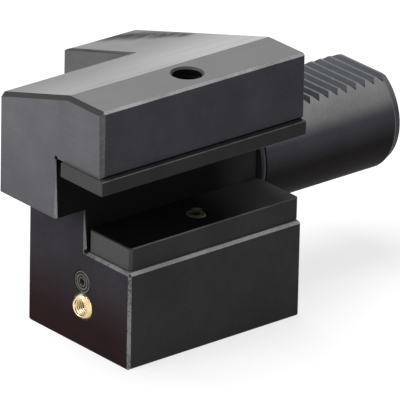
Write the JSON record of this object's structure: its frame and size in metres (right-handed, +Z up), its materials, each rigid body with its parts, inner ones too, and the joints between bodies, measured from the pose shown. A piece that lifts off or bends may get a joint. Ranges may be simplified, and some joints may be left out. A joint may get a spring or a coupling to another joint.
{
  "type": "axial tool holder with toothed shank",
  "caption": "Lathe tool holder with a round toothed shank, an open tool slot with clamp bar and support plate, and a swivelling coolant nozzle.",
  "frame": {"origin": "where the shank axis meets the plane of the mating face", "axes": "+X along the shank to its free end, -Y out of the open side of the tool slot, +Z up towards the rack and the upper jaw"},
  "size_m": [0.1492, 0.0908, 0.093],
  "materials": {
    "dark_steel": "blackened, milled and ground, worn light at the edges",
    "plate_steel": "hardened and blackened",
    "screw_steel": "blackened",
    "ball_brass": "bright turned",
    "seal_rubber": "matt"
  },
  "bodies": {
    "base": {"body": "dark_steel", "support_plate": "plate_steel", "plate_screw": "screw_steel", "bar_screw": "screw_steel", "nozzle_lock_screw": "screw_steel", "nozzle_ring": "seal_rubber", "inlet_ring": "seal_rubber", "shank_ring": "seal_rubber"},
    "bar": {"clamp_bar": "plate_steel"},
    "screw_1": {"clamp_screw_1": "screw_steel"},
    "screw_2": {"clamp_screw_2": "screw_steel"},
    "screw_3": {"clamp_screw_3": "screw_steel"},
    "screw_4": {"clamp_screw_4": "screw_steel"},
    "nozzle": {"nozzle_ball": "ball_brass"}
  },
  "joints": [
    {"name": "bar_lift", "type": "slide", "parent": "base", "child": "bar", "axis": [0, 0, 1], "range_m": [0, 0.0036]},
    {"name": "screw_1_lift", "type": "slide", "parent": "base", "child": "screw_1", "axis": [0, 0, 1], "range_m": [0, 0.0036]},
    {"name": "screw_2_lift", "type": "slide", "parent": "base", "child": "screw_2", "axis": [0, 0, 1], "range_m": [0, 0.0036]},
    {"name": "screw_3_lift", "type": "slide", "parent": "base", "child": "screw_3", "axis": [0, 0, 1], "range_m": [0, 0.0036]},
    {"name": "screw_4_lift", "type": "slide", "parent": "base", "child": "screw_4", "axis": [0, 0, 1], "range_m": [0, 0.0036]},
    {"name": "nozzle_swivel", "type": "hinge", "parent": "base", "child": "nozzle", "pos_m": [-0.07045, -0.017, -0.0306], "axis": [0, 0, 1], "range_deg": [-34, 26]}
  ],
  "couplings": [
    {"joint": "screw_1_lift", "follows": "bar_lift", "ratio": 1},
    {"joint": "screw_2_lift", "follows": "bar_lift", "ratio": 1},
    {"joint": "screw_3_lift", "follows": "bar_lift", "ratio": 1},
    {"joint": "screw_4_lift", "follows": "bar_lift", "ratio": 1}
  ]
}
